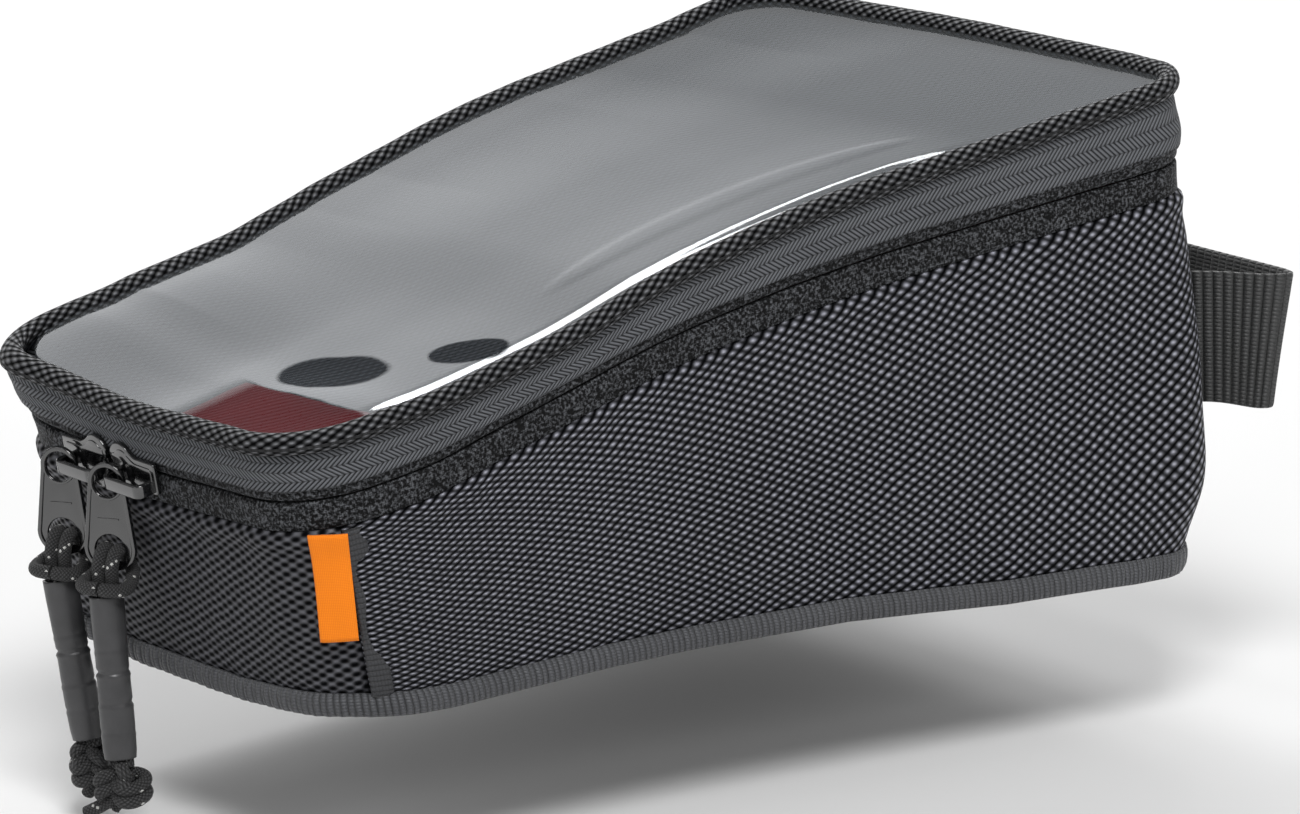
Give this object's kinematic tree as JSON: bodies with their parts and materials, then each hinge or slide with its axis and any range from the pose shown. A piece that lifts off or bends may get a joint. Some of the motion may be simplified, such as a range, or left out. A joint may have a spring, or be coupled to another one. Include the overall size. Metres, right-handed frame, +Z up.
{
  "type": "motorcycle tank bag",
  "caption": "Wedge-shaped soft tank bag with a clear map window in a zipped lid, cord zip pulls, carry handle and grip base.",
  "frame": {"origin": "middle of the base's underside", "axes": "+X towards the tall, wide front end with the carry handle, -Y to the bag's right side, +Z up"},
  "size_m": [0.344, 0.212, 0.1741],
  "materials": {
    "grip_rubber": "matt, fine texture",
    "woven_nylon": "heavy basket weave",
    "coated_fabric": "ribbed twill with a light sheen",
    "binding_tape": "ribbed tape",
    "zip_tape": "herringbone",
    "zip_coil": "nylon coil",
    "foam": "closed-cell foam",
    "board_plastic": "smooth",
    "magnet": "plated",
    "red_lining": "plain weave, dark red",
    "clear_vinyl": "clear, glossy",
    "webbing": "ribbed webbing",
    "label_fabric": "plain, orange",
    "slider_black": "gloss black lacquer",
    "tab_black": "gloss black",
    "pull_cord": "braided, with light flecks",
    "sleeve_rubber": "matt"
  },
  "bodies": {
    "bag_body": {"grip_pad": "grip_rubber", "base_panel": "woven_nylon", "base_foam": "foam", "stiffener_board": "board_plastic", "base_magnets": "magnet", "base_binding": "binding_tape", "right_side_panel": "coated_fabric", "left_side_panel": "coated_fabric", "rear_end_panel": "coated_fabric", "front_end_panel": "coated_fabric", "right_side_foam": "foam", "left_side_foam": "foam", "rear_foam": "foam", "front_foam": "foam", "lining": "red_lining", "body_zip_tape": "zip_tape", "body_zip_coil": "zip_coil", "right_corner_strip": "binding_tape", "left_corner_strip": "binding_tape", "side_label": "label_fabric", "lid_hinge_strip": "woven_nylon", "carry_handle": "webbing"},
    "lid": {"lid_edge_roll": "woven_nylon", "clear_window": "clear_vinyl", "map_pocket_back": "red_lining", "lid_foam": "foam", "lid_lining": "red_lining", "lid_zip_tape": "zip_tape", "lid_zip_coil": "zip_coil"},
    "near_slider": {"near_slider": "slider_black"},
    "near_tab": {"near_pull_tab": "tab_black"},
    "near_cord_pull": {"near_pull_cord": "pull_cord", "near_pull_sleeve": "sleeve_rubber", "near_pull_knot": "pull_cord"},
    "far_slider": {"far_slider": "slider_black"},
    "far_tab": {"far_pull_tab": "tab_black"},
    "far_cord_pull": {"far_pull_cord": "pull_cord", "far_pull_sleeve": "sleeve_rubber", "far_pull_knot": "pull_cord"}
  },
  "joints": [
    {"name": "lid_opening", "type": "hinge", "parent": "bag_body", "child": "lid", "pos_m": [0.14, 0, 0.1144], "axis": [0, 1, 0], "range_deg": [0, 105], "deforming": ["lid_hinge_strip"]},
    {"name": "near_slider_travel", "type": "slide", "parent": "bag_body", "child": "near_slider", "axis": [0, -1, 0], "range_m": [0, 0.04], "deforming": ["body_zip_coil", "lid_zip_coil"]},
    {"name": "near_tab_swing", "type": "hinge", "parent": "near_slider", "child": "near_tab", "pos_m": [-0.16168, 0.0059, 0.05623], "axis": [0, 1, 0], "range_deg": [0, 14]},
    {"name": "near_cord_swing", "type": "hinge", "parent": "near_tab", "child": "near_cord_pull", "pos_m": [-0.16028, 0.0123, 0.03274], "axis": [-0.422, 0.9051, -0.0523], "range_deg": [0, 80]},
    {"name": "far_slider_travel", "type": "slide", "parent": "bag_body", "child": "far_slider", "axis": [0, 1, 0], "range_m": [0, 0.012], "deforming": ["body_zip_coil", "lid_zip_coil"]},
    {"name": "far_tab_swing", "type": "hinge", "parent": "far_slider", "child": "far_tab", "pos_m": [-0.16168, 0.0269, 0.05623], "axis": [0, 1, 0], "range_deg": [0, 14]},
    {"name": "far_cord_swing", "type": "hinge", "parent": "far_tab", "child": "far_cord_pull", "pos_m": [-0.16028, 0.0333, 0.03274], "axis": [-0.422, 0.9051, -0.0523], "range_deg": [0, 80]}
  ]
}
